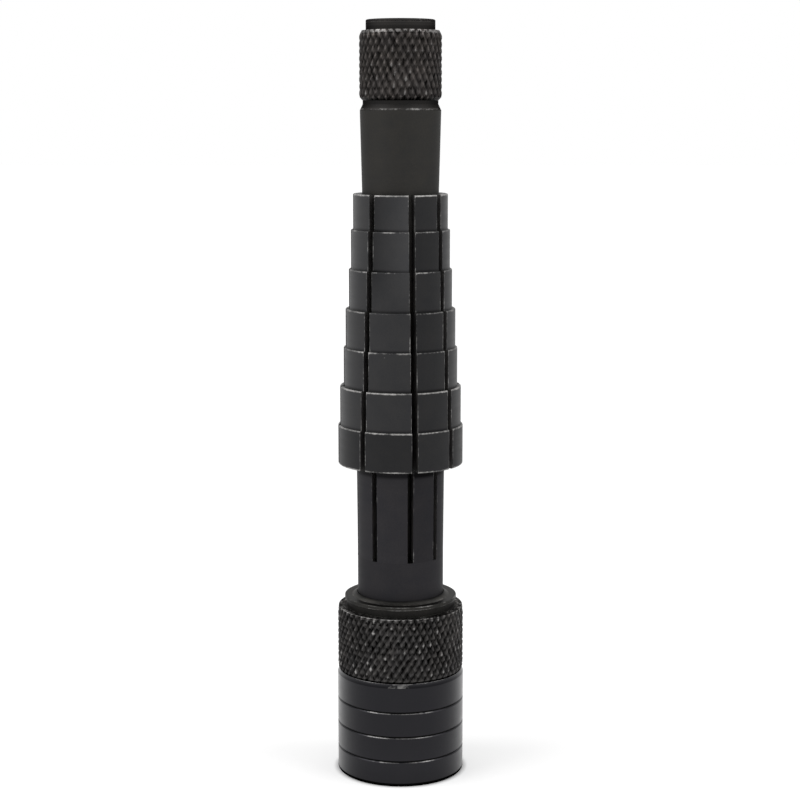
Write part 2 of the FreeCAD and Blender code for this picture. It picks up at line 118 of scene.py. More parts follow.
class Sheet:
    """A mesh under construction, in millimetres, with a wear value and a tone on each vertex."""

    def __init__(self):
        self.mesh = bmesh.new()
        self.wear = self.mesh.verts.layers.float.new("wear")
        self.tone = self.mesh.verts.layers.float.new("tone")

    def vertex(self, radius, angle, height, wear=0.0, tone=0.0):
        """One vertex at a radius, an angle and a height."""
        place = (radius * math.cos(angle), radius * math.sin(angle), height)
        made = self.mesh.verts.new(place)
        made[self.wear] = wear
        made[self.tone] = tone
        return made

    def ring(self, radius, height, wear, tone):
        """A full circle of vertices."""
        step = math.tau / TURN_SEGMENTS
        return [
            self.vertex(radius, index * step, height, wear, tone)
            for index in range(TURN_SEGMENTS)]

    def skin(self, first, second, closed=True):
        """Quads between two rows with the same number of vertices."""
        count = len(first)
        for index in range(count if closed else count - 1):
            following = (index + 1) % count
            quad = (first[index], first[following], second[following], second[index])
            self.mesh.faces.new(quad)

    def stitch(self, first, second):
        """Triangles between two full circles whose vertices stand at different angles."""
        first, second = by_angle(first), by_angle(second)
        i = j = 0
        while i < len(first) or j < len(second):
            a, b = first[i % len(first)], second[j % len(second)]
            next_a = angle_of(first[i + 1]) if i + 1 < len(first) else math.tau
            next_b = angle_of(second[j + 1]) if j + 1 < len(second) else math.tau
            if j >= len(second) or (i < len(first) and next_a <= next_b):
                self.mesh.faces.new((a, first[(i + 1) % len(first)], b))
                i += 1
            else:
                self.mesh.faces.new((a, second[(j + 1) % len(second)], b))
                j += 1

    def turn(self, points):
        """Rings through the points, skinned in turn; returns the first and the last ring."""
        rings = [self.ring(*point) for point in points]
        for lower, upper in zip(rings, rings[1:]):
            self.skin(lower, upper)
        return rings[0], rings[-1]

    def finish(self, name):
        """Scale to metres, face outward, and make the object with its sharp edges marked."""
        bmesh.ops.recalc_face_normals(self.mesh, faces=self.mesh.faces)
        for vertex in self.mesh.verts:
            vertex.co *= MM
        data = bpy.data.meshes.new(name)
        self.mesh.to_mesh(data)
        self.mesh.free()
        data.shade_smooth()
        data.set_sharp_from_angle(angle=CREASE_ANGLE)
        made = bpy.data.objects.new(name, data)
        bpy.context.scene.collection.objects.link(made)
        return made


def closed_turning(corners):
    """A ring-shaped sheet turned from a closed outline."""
    sheet = Sheet()
    first, last = sheet.turn(rounded_outline(corners))
    sheet.skin(last, first)
    return sheet


# ---------------------------------------------------------------------------------------------
# Knurling
# ---------------------------------------------------------------------------------------------

HOLLOW_SHADE_TONE = -0.5  # painted shade at the bottom of the grooves, and in the corner at the neck's foot
CREST_LIGHT_AND_SHADE_TONE = 0.55  # painted light at the upper end of each crest, and as much painted shade at the lower end
CREST_FALL = 3  # the wear of a crest ends a third of the way down its flank
BORDER_HEIGHT = 0.12  # of the bright upper edge
BORDER_LEAST = 0.6  # share of its wear that is left where a groove crosses it
BORDER_FALL = 0.7  # share that goes at the full depth of a groove, down to that least
# painted shade on a band's downward-facing lower bevel
LOWER_BEVEL_SHADE_TONE = -0.45
KNURL_LEAN = 0.075  # how far a column of diamonds leans off the upright
FAINT_SCALE = 1.7  # of the patches where the grooves are shallower
FAINT_GAIN = 1.6
WOBBLE = 0.16  # share by which the depth varies from spot to spot
WOBBLE_SCALE = 9  # finer than the patches by this much


class Knurl:
    """A band of diamond knurling: two families of grooves that cross on a cylinder."""

    def __init__(
            self, radius, teeth, repeat, depth, flank, foot, top, seed, faint_u, faint_v,
            polish, shade_gain, bevel_wear, border_wear, grit):
        self.radius = radius
        self.teeth = teeth  # diamonds round the band
        self.repeat = repeat  # height of one diamond
        self.depth = depth
        self.flank = flank  # half a groove's width, as a share of the groove pitch
        self.foot = foot
        self.top = top
        self.seed = seed
        self.faint_u = faint_u  # how much shallower the falling grooves become in places
        self.faint_v = faint_v  # and the rising ones
        self.polish = polish  # wear of the crests: the least, the most, how rare the most is
        self.shade_gain = shade_gain  # how strong the painted shade in the grooves and the painted light and shade on the crests are
        self.bevel_wear = bevel_wear  # of the crests that the upper bevel cut
        self.border_wear = border_wear  # of the upper edge
        self.grit = grit  # how far the tone of a single point may be off
        self.samples = (0.0, flank, 0.5, 1.0 - flank)

    def place(self, u, v):
        """Angle and height of the point where groove lines u and v cross."""
        rise = (u - v) * self.repeat / 2
        angle = (u + v) * math.pi / self.teeth + KNURL_LEAN * rise / self.radius
        return angle, self.foot + rise

    def groove_numbers(self, angle, height):
        """The inverse of place."""
        lean = KNURL_LEAN * (height - self.foot) / self.radius
        along = (angle - lean) * self.teeth / math.tau
        rise = (height - self.foot) / self.repeat
        return along + rise, along - rise

    def drop(self, angle, height):
        """How far the surface lies below the crests."""
        u, v = self.groove_numbers(angle, height)
        spot = Vector((math.cos(angle), math.sin(angle), height / self.radius)) * FAINT_SCALE
        fade = held(0.5 + noise.noise(spot + Vector((self.seed, 0, 0))) * FAINT_GAIN)
        drop_u = (1 - min(1.0, off_whole(u) / self.flank)) * (1 - self.faint_u * fade)
        drop_v = (1 - min(1.0, off_whole(v) / self.flank)) * (1 - self.faint_v * fade)
        wobble = 1 + WOBBLE * noise.noise(spot * WOBBLE_SCALE + Vector((0, self.seed, 0)))
        return self.depth * wobble * max(drop_u, drop_v)

    def tone(self, u, v, sunk):
        """Tone at a point: painted shade in the grooves, and painted light to painted shade down
        each crest.
        """
        up_the_crest = ((u % 1) - (v % 1)) / (1 - 2 * self.flank)
        crest = CREST_LIGHT_AND_SHADE_TONE * max(-1.0, min(1.0, up_the_crest))
        return self.shade_gain * (HOLLOW_SHADE_TONE * sunk + crest * max(0.0, 1 - sunk))

    def grid(self, sheet):
        """Faces of every diamond that reaches into the band, on the plain cylinder."""
        per_cell = len(self.samples)
        wrap = self.teeth * per_cell
        rows = math.ceil((self.top - self.foot) / self.repeat) + 1
        made = {}

        def corner(iu, iv):
            """The vertex where two sampled lines cross, made once and shared round the seam."""
            turns = (iu + iv) // (2 * wrap)
            key = (iu - turns * wrap, iv - turns * wrap)
            if key not in made:
                u = key[0] // per_cell + self.samples[key[0] % per_cell]
                v = key[1] // per_cell + self.samples[key[1] % per_cell]
                angle, height = self.place(u, v)
                made[key] = sheet.vertex(self.radius, angle, height)
            return made[key]

        for across in range(2 * self.teeth):
            for up in range(-2, 2 * rows):
                if (across + up) % 2:
                    continue
                cell_u, cell_v = (across + up) // 2, (across - up) // 2
                for a in range(per_cell):
                    for b in range(per_cell):
                        iu, iv = cell_u * per_cell + a, cell_v * per_cell + b
                        quad = [
                            corner(iu, iv), corner(iu + 1, iv),
                            corner(iu + 1, iv + 1), corner(iu, iv + 1)]
                        add_patch(sheet.mesh, quad, a, b, per_cell)

    def build(self, sheet, plain_radius, levels):
        """Add the band; returns its lower and upper border.

        plain_radius(height) is the turned blank, and each level gets an edge of its own.
        """
        self.grid(sheet)
        bm = sheet.mesh
        cuts = [(self.foot, True, False), (self.top, False, True)]
        cuts += [(level, False, False) for level in levels]
        for level, below, above in cuts:
            bmesh.ops.bisect_plane(
                bm, geom=bm.verts[:] + bm.edges[:] + bm.faces[:], dist=SAME,
                plane_co=(0, 0, level), plane_no=(0, 0, 1), clear_inner=below, clear_outer=above)
        rng = random.Random(self.seed)
        least, most, rarity = self.polish
        middle = (self.foot + self.top) / 2
        polish = {}
        for vertex in bm.verts:
            angle = angle_of(vertex)
            height = vertex.co.z
            u, v = self.groove_numbers(angle, height)
            cell = (math.floor(u) % self.teeth, math.floor(u) - math.floor(v))
            if cell not in polish:
                polish[cell] = least + (most - least) * rng.random() ** rarity
            drop = self.drop(angle, height)
            radius = self.radius - drop
            blank = plain_radius(height)
            wear = polish[cell] * max(0.0, 1 - CREST_FALL * drop / self.depth)
            tone = self.tone(u, v, drop / self.depth) + self.grit * rng.uniform(-1, 1)
            if height > self.top - BORDER_HEIGHT - SAME:
                wear = self.border_wear * max(BORDER_LEAST, 1 - BORDER_FALL * drop / self.depth)
            # painted shade: the lowest row of a band is black, and its lower bevel is darkened
            elif height < self.foot + SAME:
                wear, tone = 0.0, BLACK_TONE
            elif radius > blank and height > middle:
                wear = max(wear, self.bevel_wear)
            elif radius > blank:
                wear, tone = 0.0, LOWER_BEVEL_SHADE_TONE
            radius = min(radius, blank)
            vertex.co.x = radius * math.cos(angle)
            vertex.co.y = radius * math.sin(angle)
            vertex[sheet.wear] = wear
            vertex[sheet.tone] = max(BLACK_TONE, tone)
        lower = [vertex for vertex in bm.verts if abs(vertex.co.z - self.foot) < SAME]
        upper = [vertex for vertex in bm.verts if abs(vertex.co.z - self.top) < SAME]
        return lower, upper


def off_whole(value):
    """Distance to the nearest whole number."""
    return abs(value - round(value))


def add_patch(bm, quad, a, b, per_cell):
    """One patch of a diamond; a corner patch is split where its two flanks meet."""
    last = per_cell - 1
    if (a, b) in ((0, 0), (last, last)):
        bm.faces.new((quad[0], quad[1], quad[2]))
        bm.faces.new((quad[0], quad[2], quad[3]))
    elif (a, b) in ((0, last), (last, 0)):
        bm.faces.new((quad[0], quad[1], quad[3]))
        bm.faces.new((quad[1], quad[2], quad[3]))
    else:
        bm.faces.new(quad)


# ---------------------------------------------------------------------------------------------
# Base, collar and collet sleeve
# ---------------------------------------------------------------------------------------------

BASE_RADIUS = 12.7
BASE_HEIGHT = 21.0
BASE_BEVEL_WIDTH = 0.3
BASE_BEVEL_LENGTH = 0.8
BEVEL_ROUND = 0.1
# painted shade: the top bevel darker than the side, standing in for a darker reflection
BEVEL_SHADE_TONE = -0.45
FOOT_ROUND = 0.35
FOOT_HEIGHT = 0.65  # of the shaded foot
PAINTED_BOUNCE_TONE = 0.2  # painted reflection: the lowest part lighter, as if it reflected a little more of the floor
BOUNCE_REACH = 10.0
PLUG_BORE = 9.62
PLUG_BORE_TOP = 3.3
NUT_BORE = 8.22
NUT_BORE_TOP = 13.0
PIN_BORE = 6.82
SPIGOT_RADIUS = 9.3
SPIGOT_TOP = 29.5
SPIGOT_BEVEL = 0.4
SEAM_SHADE_TONE = -0.9  # painted shade in the corner at its foot, under the collar
RING_FOOT = 24.35  # of the two grooves that the retaining ring sits in
RING_TOP = 25.55
RING_INSIDE = 8.6
RING_OUTSIDE = 10.1

GRIP_GROOVES = (15.09, 10.07, 5.05)
GROOVE_HALF_WIDTH = 0.25
GROOVE_DEPTH = 0.3
GROOVE_LIP = 0.06  # width of the worn lip below each groove
GROOVE_BREAK = 0.04  # of the groove's edges
GROOVE_FLANK = 0.03  # how far below its middle the lower flank ends
GROOVE_FLOOR_SHADE_TONE = 2.2  # how far the painted shade on the floor of the grooves is lifted, at the front
GROOVE_SIDE_PAINTED_LIGHT = 3.8  # and the painted light added to it towards the sides
LIP_GLINT_REACH = 46.0  # degrees off the middle at which the lips' wear has faded out: real edge wear, kept to the front as a painted highlight
LIP_GLINT_FADE = 18.0
LIP_SHADE_TONE = -0.35  # painted shade on the lips beyond that
SCUFF_DEGREES = 270.5  # direction of the scuffed patch on the top bevel
SCUFF_REACH = 15.0
SCUFF_FALL = 0.4
SCUFF_WEAR = 0.85
SCUFF_PATCHES = 0.7
SCUFF_SCALE = 1.6
SKIN = 0.5  # the outer face reaches in this far
CLEAR_OF_ENDS = 1  # the grooves lie at least this far from the base's two ends

COLLAR_RADIUS = 12.63
COLLAR_FOOT = 21.25
COLLAR_SHOULDER = 34.05
COLLAR_TOP = 36.2
COLLAR_BEVEL = 0.17
COLLAR_UPPER_BEVEL = 1.4
COLLAR_LOWER_BEVEL = 0.35
COLLAR_LEVELS = (
    COLLAR_FOOT + 0.25, COLLAR_FOOT + COLLAR_LOWER_BEVEL, COLLAR_SHOULDER - COLLAR_UPPER_BEVEL,
    COLLAR_SHOULDER - COLLAR_UPPER_BEVEL / 2, COLLAR_SHOULDER - BORDER_HEIGHT - BORDER_HEIGHT,
    COLLAR_SHOULDER - BORDER_HEIGHT)
COLLAR_INSIDE = COLLAR_RADIUS - 0.7  # where the turned faces meet the knurled band
COLLAR_RIM_FOOT = 35.5
COLLAR_RIM_RADIUS = 11.2
COLLAR_UNDERCUT_RADIUS = 10.9
COLLAR_BORE = 9.38
COLLAR_BORE_BEVEL = 0.3
# painted shade in the undercut under the boss's rim
UNDERCUT_SHADE_TONE = -0.2
CONE_RISE = 0.55  # of the boss's top towards the neck
BOSS_TOP_ROWS = (  # inward from the rim, up, wear, tone; the tones are painted highlights in rings
    (0.6, 0, 0.6, 0.9), (0.9, 0, 0.3, 0.7), (1.3, 0, 0.3, 0.7), (1.5, 0, 0.7, 1.5),
    (1.65, 0.08, 0.6, 1.8))
BOSS_CONE_ROWS = (  # outward from the neck, down from the cone's top, wear, tone; the tones paint a light ring and shade
    (0.6, 0.3, 0.3, 1.1), (0.35, 0.1, 0, -0.2), (0.2, 0, 0, -0.2), (0.02, 0.1, 0, HOLLOW_SHADE_TONE))
SHOULDER_RINGS = (11.7, 11.5, 11.3, 11.1)
SHOULDER_SEED = 3
SHOULDER_GRIT = 0.9
SHOULDER_LEAST_TONE = -0.8
SHOULDER_WEAR = 1.6
SHOULDER_RARITY = 1.6

NECK_RADIUS = 8.57
NECK_TOP_RADIUS = 8.72
NECK_GAP = 0.02  # between the neck and the collar
NECK_TONE = -0.05
COLLET_FOOT = 30.52
COLLET_BORE = 6.9
FLANGE_RADIUS = 9.36
FLANGE_TOP = 32.02
FLANGE_SEAT = 32.04
SLOT_END = 44.4


def wear_and_painted_light(sheet):
    """Wear and tone of the base: a scuff on the bevel, painted highlights and shade on the
    grooves, and a painted reflection of the floor near the foot.
    """
    for vertex in sheet.mesh.verts:
        radius, height = vertex.co.xy.length, vertex.co.z
        from_middle = abs(math.degrees(angle_of(vertex)) - SCUFF_DEGREES)
        # share towards the front, for the painted highlight on the lips and the painted light on
        # the groove floors
        front = held((LIP_GLINT_REACH - from_middle) / LIP_GLINT_FADE)
        if height > BASE_HEIGHT - BASE_BEVEL_LENGTH and radius > BASE_RADIUS - SKIN:
            scuff = SCUFF_WEAR * max(0.0, 1 - from_middle / SCUFF_REACH) ** SCUFF_FALL
            scuff += SCUFF_PATCHES * noise.noise(vertex.co * SCUFF_SCALE) if scuff else 0.0
            vertex[sheet.wear] = max(vertex[sheet.wear], scuff)
        elif height < CLEAR_OF_ENDS or radius < BASE_RADIUS - GROOVE_DEPTH - SAME:
            continue
        # painted highlight: the lips' edge wear fades out away from the front, with painted shade
        # beyond
        elif vertex[sheet.wear]:
            vertex[sheet.wear] *= front
            vertex[sheet.tone] = LIP_SHADE_TONE * (1 - front)
        # painted shade on the groove floors, lifted by painted light towards the sides
        elif radius < BASE_RADIUS - SAME and height < BASE_HEIGHT - CLEAR_OF_ENDS:
            vertex[sheet.tone] = GROOVE_FLOOR_SHADE_TONE + GROOVE_SIDE_PAINTED_LIGHT * (1 - front)
        # painted reflection of the floor, fading out upwards
        elif height < BOUNCE_REACH:
            vertex[sheet.tone] = PAINTED_BOUNCE_TONE * (1 - height / BOUNCE_REACH)


def build_base():
    """Base with three grooves, its spigot, and the bore for the nut and the plug."""
    bevel_foot = BASE_HEIGHT - BASE_BEVEL_LENGTH
    groove_floor = BASE_RADIUS - GROOVE_DEPTH
    corners = [(PLUG_BORE, 0, 0.15, 0.5), (BASE_RADIUS, 0, FOOT_ROUND), (BASE_RADIUS, FOOT_HEIGHT)]
    for height in reversed(GRIP_GROOVES):
        corners += [
            (BASE_RADIUS, height - GROOVE_HALF_WIDTH - GROOVE_LIP),
            (BASE_RADIUS - GROOVE_BREAK, height - GROOVE_HALF_WIDTH, 0, 0.95),
            (groove_floor + GROOVE_LIP, height - GROOVE_FLANK, 0, 0.7),
            (groove_floor, height),
            (groove_floor, height + GROOVE_HALF_WIDTH - GROOVE_BREAK),
            (BASE_RADIUS, height + GROOVE_HALF_WIDTH),
        ]
    corners += [
        (BASE_RADIUS, bevel_foot - BEVEL_ROUND),
        (BASE_RADIUS, bevel_foot, BEVEL_ROUND, 0, BEVEL_SHADE_TONE),
        (BASE_RADIUS - BASE_BEVEL_WIDTH / 2, BASE_HEIGHT - BASE_BEVEL_LENGTH / 2,
         0, 0, BEVEL_SHADE_TONE / 2),
        (BASE_RADIUS - BASE_BEVEL_WIDTH, BASE_HEIGHT, 0.05, 0.9, 0.2),
        (SPIGOT_RADIUS, BASE_HEIGHT, 0.1, 0, SEAM_SHADE_TONE),
        (SPIGOT_RADIUS, RING_FOOT),
        (RING_INSIDE, RING_FOOT),
        (RING_INSIDE, RING_TOP),
        (SPIGOT_RADIUS, RING_TOP),
        (SPIGOT_RADIUS, SPIGOT_TOP - SPIGOT_BEVEL),
        (SPIGOT_RADIUS - SPIGOT_BEVEL, SPIGOT_TOP),
        (PIN_BORE, SPIGOT_TOP),
        (PIN_BORE, NUT_BORE_TOP),
        (NUT_BORE, NUT_BORE_TOP),
        (NUT_BORE, PLUG_BORE_TOP),
        (PLUG_BORE, PLUG_BORE_TOP),
    ]
    sheet = closed_turning(corners)
    wear_and_painted_light(sheet)
    return sheet.finish("base_turned")


def collar_blank(height):
    """Radius of the collar's band before knurling, with its two bevels."""
    from_foot = (height - COLLAR_FOOT) / COLLAR_LOWER_BEVEL
    from_top = (COLLAR_SHOULDER - height) / COLLAR_UPPER_BEVEL
    return COLLAR_RADIUS - COLLAR_BEVEL * (1 - min(1.0, from_foot, from_top))


def grit_shoulder(sheet):
    """Uneven tone and bare specks on the flat shoulder between the band and the boss."""
    rng = random.Random(SHOULDER_SEED)
    for vertex in sheet.mesh.verts:
        level = abs(vertex.co.z - COLLAR_SHOULDER) < SAME
        if level and COLLAR_UNDERCUT_RADIUS < vertex.co.xy.length < COLLAR_INSIDE + SAME:
            tone = vertex[sheet.tone] + SHOULDER_GRIT * rng.uniform(-1, 1)
            vertex[sheet.tone] = max(SHOULDER_LEAST_TONE, tone)
            vertex[sheet.wear] = SHOULDER_WEAR * rng.random() ** SHOULDER_RARITY


def build_collar():
    """Knurled collar with the plain boss on top and the stepped bore inside."""
    sheet = Sheet()
    knurl = Knurl(
        radius=COLLAR_RADIUS, teeth=53, repeat=2.45, depth=0.36, flank=0.42,
        foot=COLLAR_FOOT, top=COLLAR_SHOULDER, seed=11, faint_u=0.5, faint_v=0.1,
        polish=(0.45, 1.1, 1.5), shade_gain=1.5, bevel_wear=0.6, border_wear=1.35, grit=0.45)
    lower, upper = knurl.build(sheet, collar_blank, COLLAR_LEVELS)
    first, last = sheet.turn(rounded_outline([
        (COLLAR_INSIDE, COLLAR_SHOULDER, 0, 0.7, 0.0),
        # painted light on the shoulder rings, against the shade under the rim
        *((radius, COLLAR_SHOULDER, 0, 0.4, 0.3) for radius in SHOULDER_RINGS),
        # painted shade in the corner under the rim
        (COLLAR_UNDERCUT_RADIUS, COLLAR_SHOULDER, 0.1, 0, -0.25),
        (COLLAR_UNDERCUT_RADIUS, COLLAR_RIM_FOOT, 0, 0, UNDERCUT_SHADE_TONE),
        # painted highlights: the rim's edges get lighter tones
        (COLLAR_RIM_RADIUS, COLLAR_RIM_FOOT, 0.05, 0.95, 0.6),
        (COLLAR_RIM_RADIUS, COLLAR_TOP, 0.12, 0.8, 0.5),
        *((COLLAR_RIM_RADIUS - inward, COLLAR_TOP + up, 0, wear, tone)
          for inward, up, wear, tone in BOSS_TOP_ROWS),
        *((NECK_RADIUS + outward, COLLAR_TOP + CONE_RISE - down, 0, wear, tone)
          for outward, down, wear, tone in BOSS_CONE_ROWS),
        (NECK_RADIUS + NECK_GAP, FLANGE_SEAT),
        (COLLAR_BORE, FLANGE_SEAT),
        (COLLAR_BORE, RING_TOP),
        (RING_OUTSIDE, RING_TOP),
        (RING_OUTSIDE, RING_FOOT),
        (COLLAR_BORE, RING_FOOT),
        (COLLAR_BORE, COLLAR_FOOT + COLLAR_BORE_BEVEL),
        (COLLAR_BORE + COLLAR_BORE_BEVEL, COLLAR_FOOT),
        (COLLAR_INSIDE, COLLAR_FOOT),
    ]))
    grit_shoulder(sheet)
    sheet.stitch(upper, first)
    sheet.stitch(lower, last)
    return sheet.finish("collar_knurled")


def build_sleeve():
    """Uncut foot of the collet, up to the ends of the slots."""
    return closed_turning([
        (COLLET_BORE, COLLET_FOOT),
        (FLANGE_RADIUS, COLLET_FOOT),
        (FLANGE_RADIUS, FLANGE_TOP),
        (NECK_RADIUS, FLANGE_TOP, 0, 0, NECK_TONE),
        (NECK_RADIUS, SLOT_END, 0, 0, NECK_TONE),
        (COLLET_BORE, SLOT_END),
    ]).finish("collet_sleeve")


# ---------------------------------------------------------------------------------------------
# Jaws
# ---------------------------------------------------------------------------------------------

SLOT_DEGREES = (-76.8, -37.0, 8.2, 53.4, 103.2, 143.0, 188.2, 233.4)
HALF_SLOT = 0.55
SLOT_EDGE = 0.07  # broken edge of the slots outside; inside it is a third of that
SLOT_EDGE_WEAR = 0.9
NECK_SLOT_WEAR = 0.7
WALL_TONE = -0.4
JAW_COLUMNS = 22
# painted light and shade: each jaw lighter or darker as the lamps fall on it
JAW_LIGHT_AND_SHADE_TONES = (-0.12, -0.1, 0.0, 0.05, 0.0, -0.05, 0.12, 0.08)
FLARE_FOOT = 46.2
FLARE = 0.01  # of the neck over each of the two shaded lengths below the steps
SHADE_HEIGHT = 1.4
SHADE_FADE = 0.6
SHADE_TONE = -0.7  # under the widest step
STEPS_FOOT = 63.15
STEPS_FOOT_ROUND = 0.25
STEP_RADII = (12.38, 11.98, 11.23, 10.83, 10.15, 9.71, 9.27)
STEP_TOPS = (71.05, 78.8, 86.5, 94.1, 101.9, 109.6, 116.55)
STEP_ROUND = 0.22
STEP_WEAR = (0.95, 1.05, 0.85, 0.8, 0.85, 0.85, 1.0)
# painted light and shade: a brightness for each step, lighter towards the top
STEP_LIGHT_AND_SHADE_TONES = (-0.27, 0.08, 0.12, 0.15, 0.15, 0.25, 0.25)
FIRST_JAW_STEP_LIGHT_TONES = (0.0, 0.0, -0.03, -0.07, 0.0, -0.1, -0.02)  # of the first jaw: its own painted light and shade
LEDGE_ROUND = 0.08
LEDGE_HEIGHT = 0.6  # of the strip of painted shade above a ledge
LEDGE_SHADE_TONE = -0.5
GLINT_JAW = 7  # its upper steps lighten from one slot to the other
GLINT_TONE = 0.5
GLINT_FOOT = 94.0
GLINT_REACH = 8.0
REAM_FOOT = 89.35
REAM_RADIUS = 7.58
MOUTH_LIP = 0.5  # width of the end face, from the bore, where slot edges break outward


def jaw_corners(step_light_tones):
    """Section of a jaw: neck, seven steps, and the bore with its reamed taper."""
    corners = [
        (NECK_RADIUS, SLOT_END, 0, 0, NECK_TONE),
        (NECK_RADIUS, FLARE_FOOT, 0, 0, NECK_TONE),
        (NECK_TOP_RADIUS - 2 * FLARE, STEPS_FOOT - SHADE_HEIGHT - SHADE_FADE, 0, 0, NECK_TONE),
        (NECK_TOP_RADIUS - FLARE, STEPS_FOOT - SHADE_HEIGHT, 0, 0, SHADE_TONE),
        (NECK_TOP_RADIUS, STEPS_FOOT, 0.12, 0, SHADE_TONE),
    ]
    foot = STEPS_FOOT
    steps = zip(STEP_RADII, STEP_TOPS, STEP_WEAR, step_light_tones)
    for index, (radius, top, wear, tone) in enumerate(steps):
        if index == 0:
            corners.append((radius, foot, STEPS_FOOT_ROUND, 1.0, tone))
        else:
            corners.append((radius, foot, LEDGE_ROUND, 0, LEDGE_SHADE_TONE))
            corners.append((radius, foot + LEDGE_HEIGHT, 0, 0, tone))
        corners.append((radius, top, STEP_ROUND, wear, tone))
        foot = top
    corners += [
        (REAM_RADIUS, STEP_TOPS[-1], 0.12, 0.6),
        (COLLET_BORE, REAM_FOOT),
        (COLLET_BORE, SLOT_END),
    ]
    return corners


def build_jaw(index):
    """One finger of the collet, from the end of the slots to its top."""
    sheet = Sheet()
    start = math.radians(SLOT_DEGREES[index])
    end = math.radians(SLOT_DEGREES[(index + 1) % len(SLOT_DEGREES)])
    half_jaw = (end - start) % math.tau / 2
    middle = start + half_jaw
    rows = []
    # painted light and shade: the step tones and the jaw's tone
    step_light_tones = STEP_LIGHT_AND_SHADE_TONES if index else FIRST_JAW_STEP_LIGHT_TONES
    for radius, height, wear, step_tone in rounded_outline(jaw_corners(step_light_tones)):
        tone = step_tone + JAW_LIGHT_AND_SHADE_TONES[index]
        glint = 0.0
        if index == GLINT_JAW:
            glint = GLINT_TONE * held((height - GLINT_FOOT) / GLINT_REACH)
        outside = height > SLOT_END + SAME and radius > REAM_RADIUS + MOUTH_LIP
        edge = SLOT_EDGE if outside else SLOT_EDGE / 3
        wall_radius = radius - edge if outside else radius + edge
        wall = half_jaw - math.asin(HALF_SLOT / wall_radius)
        face = half_jaw - math.asin((HALF_SLOT + edge) / radius)
        inner = half_jaw - math.asin((HALF_SLOT + edge + WEAR_REACH) / radius)
        edge_wear = max(wear, SLOT_EDGE_WEAR if height > STEPS_FOOT else NECK_SLOT_WEAR)
        row = [sheet.vertex(wall_radius, middle - wall, height, 0.0, WALL_TONE)]
        row.append(sheet.vertex(radius, middle - face, height, edge_wear, tone - glint))
        for column in range(JAW_COLUMNS + 1):
            across = 2 * column / JAW_COLUMNS - 1
            angle = middle + inner * across
            row.append(sheet.vertex(radius, angle, height, wear, tone + glint * across))
        row.append(sheet.vertex(radius, middle + face, height, edge_wear, tone + glint))
        row.append(sheet.vertex(wall_radius, middle + wall, height, 0.0, WALL_TONE))
        rows.append(row)
    for row, following in zip(rows, rows[1:] + rows[:1]):
        sheet.skin(row, following, closed=False)
    sheet.mesh.faces.new([row[0] for row in rows])
    sheet.mesh.faces.new([row[-1] for row in rows])
    return sheet.finish("jaw_finger_%d" % (index + 1))


# ---------------------------------------------------------------------------------------------
# Draw pin
# ---------------------------------------------------------------------------------------------

TAIL_FOOT = 18.0
TAIL_RADIUS = 5.0
TAIL_BEVEL = 1
TAPER_FOOT = 75.85
TAPER_FOOT_RADIUS = 6.4825
SHANK_TOP = 132.55
SHANK_TOP_RADIUS = 7.90
CONE_TOP = 133.75
CONE_LIGHT_TONE = 0.8  # painted light: the cone lightens towards the shank
CONE_ROWS = (  # inward from the shank's edge, up, wear, tone
    (0.28, 0.6, 0, 0.25), (0.163, 0.35, 0.8, CONE_LIGHT_TONE), (0.037, 0.08, 0.8, CONE_LIGHT_TONE))
HEAD_RADIUS = 8.0
HEAD_GROOVE_RADIUS = 7.34
HEAD_FOOT = 134.45
HEAD_TOP = 147.75
HEAD_LOWER_BEVEL = 0.6
HEAD_UPPER_BEVEL = 0.95
HEAD_UPPER_BEVEL_WIDTH = 0.5
HEAD_LEVELS = (
    HEAD_FOOT + HEAD_LOWER_BEVEL, HEAD_TOP - HEAD_UPPER_BEVEL, HEAD_TOP - HEAD_UPPER_BEVEL / 2)
BORDER_GAP = 0.02  # between the band's lower border and the turned groove below it
END_BOSS_RADIUS = 6.72
END_BOSS_FACE = 0.4  # width of the turned face round the boss
PIN_TOP = 149.8
END_BOSS_ROWS = (  # down from the top, wear, tone; the tones are painted highlights in bands
    (1.4, 0, 0.1), (1.1, 0, 0.6), (0.85, 0, 0.4), (0.65, 0, 0.8), (0.5, 0.9, 2.4),
    (0.38, 0.2, 1.2))
END_FACE_RINGS = (0.8, 1)  # inward from the boss's side, on its flat end


def head_blank(height):
    """Radius of the head before knurling, with its two bevels."""
    from_foot = min(1.0, (height - HEAD_FOOT) / HEAD_LOWER_BEVEL)
    from_top = min(1.0, (HEAD_TOP - height) / HEAD_UPPER_BEVEL)
    lower = (HEAD_RADIUS - HEAD_GROOVE_RADIUS) * (1 - from_foot)
    return HEAD_RADIUS - lower - HEAD_UPPER_BEVEL_WIDTH * (1 - from_top)


